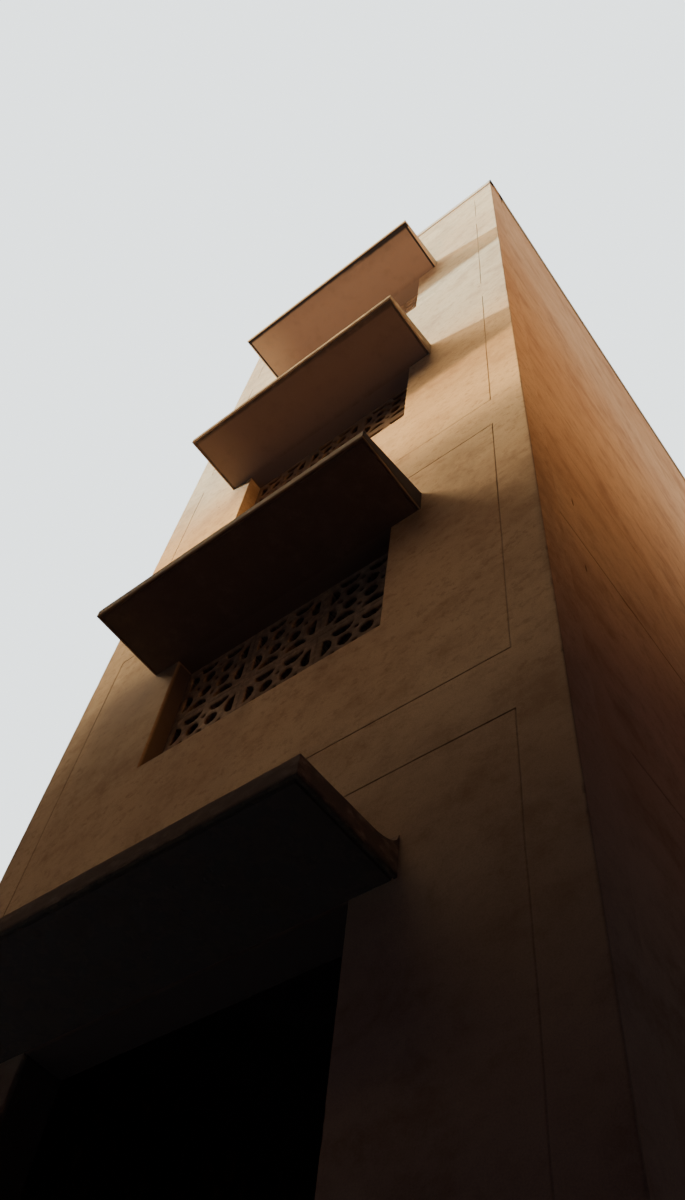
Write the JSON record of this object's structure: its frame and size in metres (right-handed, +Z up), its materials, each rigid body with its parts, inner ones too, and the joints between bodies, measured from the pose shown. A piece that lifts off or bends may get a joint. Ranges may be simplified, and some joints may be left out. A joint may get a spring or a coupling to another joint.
{
  "type": "rectangular rendered tower with canopied screen windows",
  "caption": "Tall hollow rectangular rendered tower, open entrance under a canopy, canopied windows filled with pierced screen blocks, panel lines and a parapet.",
  "frame": {"origin": "centre of the footprint at ground level, on the underside of the ground floor slab", "axes": "+Z up, +X to the right along the front, +Y from the front into the building"},
  "size_m": [4.15, 6.25, 16.8],
  "materials": {
    "render": "painted sand and cement render, trowelled, weathered",
    "slab_concrete": "bare cast concrete",
    "coping": "painted cement coping, dusty",
    "canopy": "painted cast concrete with dirty drip edges",
    "screen_cement": "painted cast cement, dusty in the corners"
  },
  "bodies": {
    "root": {"front_left_pier": "render", "front_right_pier": "render", "front_wall_over_entrance": "render", "front_wall_over_lower_window": "render", "front_wall_over_middle_window": "render", "front_wall_over_upper_window": "render", "left_wall": "render", "right_wall": "render", "rear_wall": "render", "ground_floor_slab": "slab_concrete", "entrance_threshold": "slab_concrete", "lower_window_floor_slab": "slab_concrete", "middle_window_floor_slab": "slab_concrete", "upper_window_floor_slab": "slab_concrete", "roof_slab": "slab_concrete", "front_coping": "coping", "rear_coping": "coping", "left_coping": "coping", "right_coping": "coping", "entrance_canopy": "canopy", "lower_window_canopy": "canopy", "middle_window_canopy": "canopy", "upper_window_canopy": "canopy", "lower_screen_bottom_left": "screen_cement", "lower_screen_bottom_middle": "screen_cement", "lower_screen_bottom_right": "screen_cement", "lower_screen_top_left": "screen_cement", "lower_screen_top_middle": "screen_cement", "lower_screen_top_right": "screen_cement", "middle_screen_bottom_left": "screen_cement", "middle_screen_bottom_middle": "screen_cement", "middle_screen_bottom_right": "screen_cement", "middle_screen_top_left": "screen_cement", "middle_screen_top_middle": "screen_cement", "middle_screen_top_right": "screen_cement", "upper_screen_bottom_left": "screen_cement", "upper_screen_bottom_middle": "screen_cement", "upper_screen_bottom_right": "screen_cement", "upper_screen_top_left": "screen_cement", "upper_screen_top_middle": "screen_cement", "upper_screen_top_right": "screen_cement"}
  },
  "joints": []
}
